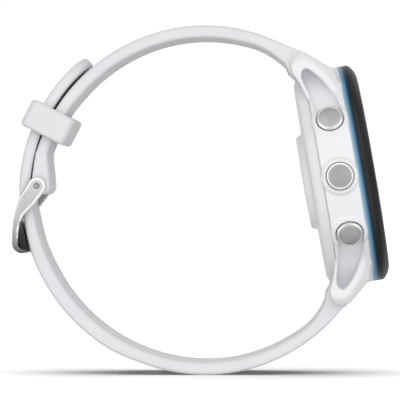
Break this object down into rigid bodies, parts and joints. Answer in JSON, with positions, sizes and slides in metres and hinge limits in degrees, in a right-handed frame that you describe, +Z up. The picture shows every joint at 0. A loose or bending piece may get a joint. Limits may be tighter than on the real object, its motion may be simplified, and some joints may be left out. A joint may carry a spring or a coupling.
{
  "type": "gps running watch",
  "caption": "Round sports watch with push buttons, blue accent ring, optical wrist sensor and a soft strap closed by a pin buckle and keeper.",
  "frame": {"origin": "middle of the closed strap loop, where the wrist goes", "axes": "+Z up, +X towards the display side, +Y along the wrist towards the two-button side"},
  "size_m": [0.0792, 0.0472, 0.0733],
  "materials": {
    "white_case": "fine satin moulding",
    "white_strap": "soft matte silicone",
    "black_bezel": "fine-grained satin black",
    "front_glass": "polished, dark behind",
    "blue_ring": "satin blue, darker towards the bezel",
    "black_seal": "matte",
    "display": "polished black",
    "grey_plastic": "moulded",
    "board": "solder mask",
    "black_chips": "moulded resin",
    "antenna": "plated",
    "battery_foil": "laminated foil",
    "pad": "foam tape",
    "bright_steel": "machined",
    "brass_disc": "plain",
    "sensor_glass": "polished dark window",
    "emitters": "clear resin",
    "gold_pins": "gold plated",
    "button_steel": "satin, bead blasted face",
    "satin_steel": "satin faces, polished edges"
  },
  "bodies": {
    "watch": {"case_middle": "white_case", "bezel": "black_bezel", "front_lens": "front_glass", "lens_gasket": "black_seal", "accent_ring": "blue_ring", "bezel_gasket": "black_seal", "display_panel": "display", "display_tray": "grey_plastic", "main_board": "board", "board_chips": "black_chips", "gps_antenna": "antenna", "battery": "battery_foil", "battery_pad": "pad", "vibration_motor": "bright_steel", "buzzer": "brass_disc", "barometer": "bright_steel", "left_switches": "bright_steel", "right_switches": "bright_steel", "rear_cover": "white_case", "rear_gasket": "black_seal", "rear_screws": "bright_steel", "sensor_window": "sensor_glass", "sensor_board": "board", "sensor_emitters": "emitters", "charge_contacts": "gold_pins", "button_seals": "black_seal", "strap_upper": "white_strap", "strap_lower": "white_strap", "spring_bar_upper": "bright_steel", "spring_bar_lower": "bright_steel", "bar_spring_upper": "bright_steel", "bar_spring_lower": "bright_steel", "light_spring": "bright_steel", "up_spring": "bright_steel", "down_spring": "bright_steel", "start_spring": "bright_steel", "back_spring": "bright_steel"},
    "light_pusher": {"light_button": "button_steel", "light_clip": "bright_steel"},
    "up_pusher": {"up_button": "button_steel", "up_clip": "bright_steel"},
    "down_pusher": {"down_button": "button_steel", "down_clip": "bright_steel"},
    "start_pusher": {"start_button": "button_steel", "start_clip": "bright_steel"},
    "back_pusher": {"back_button": "button_steel", "back_clip": "bright_steel"},
    "lever_upper": {"release_lever_upper": "bright_steel"},
    "lever_lower": {"release_lever_lower": "bright_steel"},
    "buckle": {"buckle_frame": "satin_steel", "buckle_pin": "satin_steel"},
    "tongue": {"buckle_tongue": "satin_steel"},
    "keeper": {"keeper": "white_strap"}
  },
  "joints": [
    {"name": "light_press", "type": "slide", "parent": "watch", "child": "light_pusher", "axis": [0.0877, 0.8572, -0.5075], "range_m": [0, 0.0005], "stiffness_N_per_m": 400, "springref_m": -0.002, "deforming": ["light_spring"]},
    {"name": "up_press", "type": "slide", "parent": "watch", "child": "up_pusher", "axis": [0, 1, 0], "range_m": [0, 0.0005], "stiffness_N_per_m": 400, "springref_m": -0.002, "deforming": ["up_spring"]},
    {"name": "down_press", "type": "slide", "parent": "watch", "child": "down_pusher", "axis": [-0.0877, 0.8572, 0.5075], "range_m": [0, 0.0005], "stiffness_N_per_m": 400, "springref_m": -0.002, "deforming": ["down_spring"]},
    {"name": "start_press", "type": "slide", "parent": "watch", "child": "start_pusher", "axis": [0.0877, -0.8572, -0.5075], "range_m": [0, 0.0005], "stiffness_N_per_m": 400, "springref_m": -0.002, "deforming": ["start_spring"]},
    {"name": "back_press", "type": "slide", "parent": "watch", "child": "back_pusher", "axis": [-0.0877, -0.8572, 0.5075], "range_m": [0, 0.0005], "stiffness_N_per_m": 400, "springref_m": -0.002, "deforming": ["back_spring"]},
    {"name": "release_upper", "type": "slide", "parent": "watch", "child": "lever_upper", "axis": [0, -1, 0], "range_m": [0, 0.0014], "stiffness_N_per_m": 250, "springref_m": -0.002, "deforming": ["bar_spring_upper"]},
    {"name": "release_lower", "type": "slide", "parent": "watch", "child": "lever_lower", "axis": [0, -1, 0], "range_m": [0, 0.0014], "stiffness_N_per_m": 250, "springref_m": -0.002, "deforming": ["bar_spring_lower"]},
    {"name": "buckle_swing", "type": "hinge", "parent": "watch", "child": "buckle", "pos_m": [-0.0339, 0, 0.0029], "axis": [0, 1, 0], "range_deg": [0, 8]},
    {"name": "tongue_swing", "type": "hinge", "parent": "buckle", "child": "tongue", "pos_m": [-0.0339, 0, 0.0029], "axis": [0, 1, 0], "range_deg": [0, 10]},
    {"name": "keeper_slide", "type": "hinge", "parent": "watch", "child": "keeper", "pos_m": [0.0025, 0, -0.0013], "axis": [0, 1, 0], "range_deg": [-6, 14]}
  ]
}
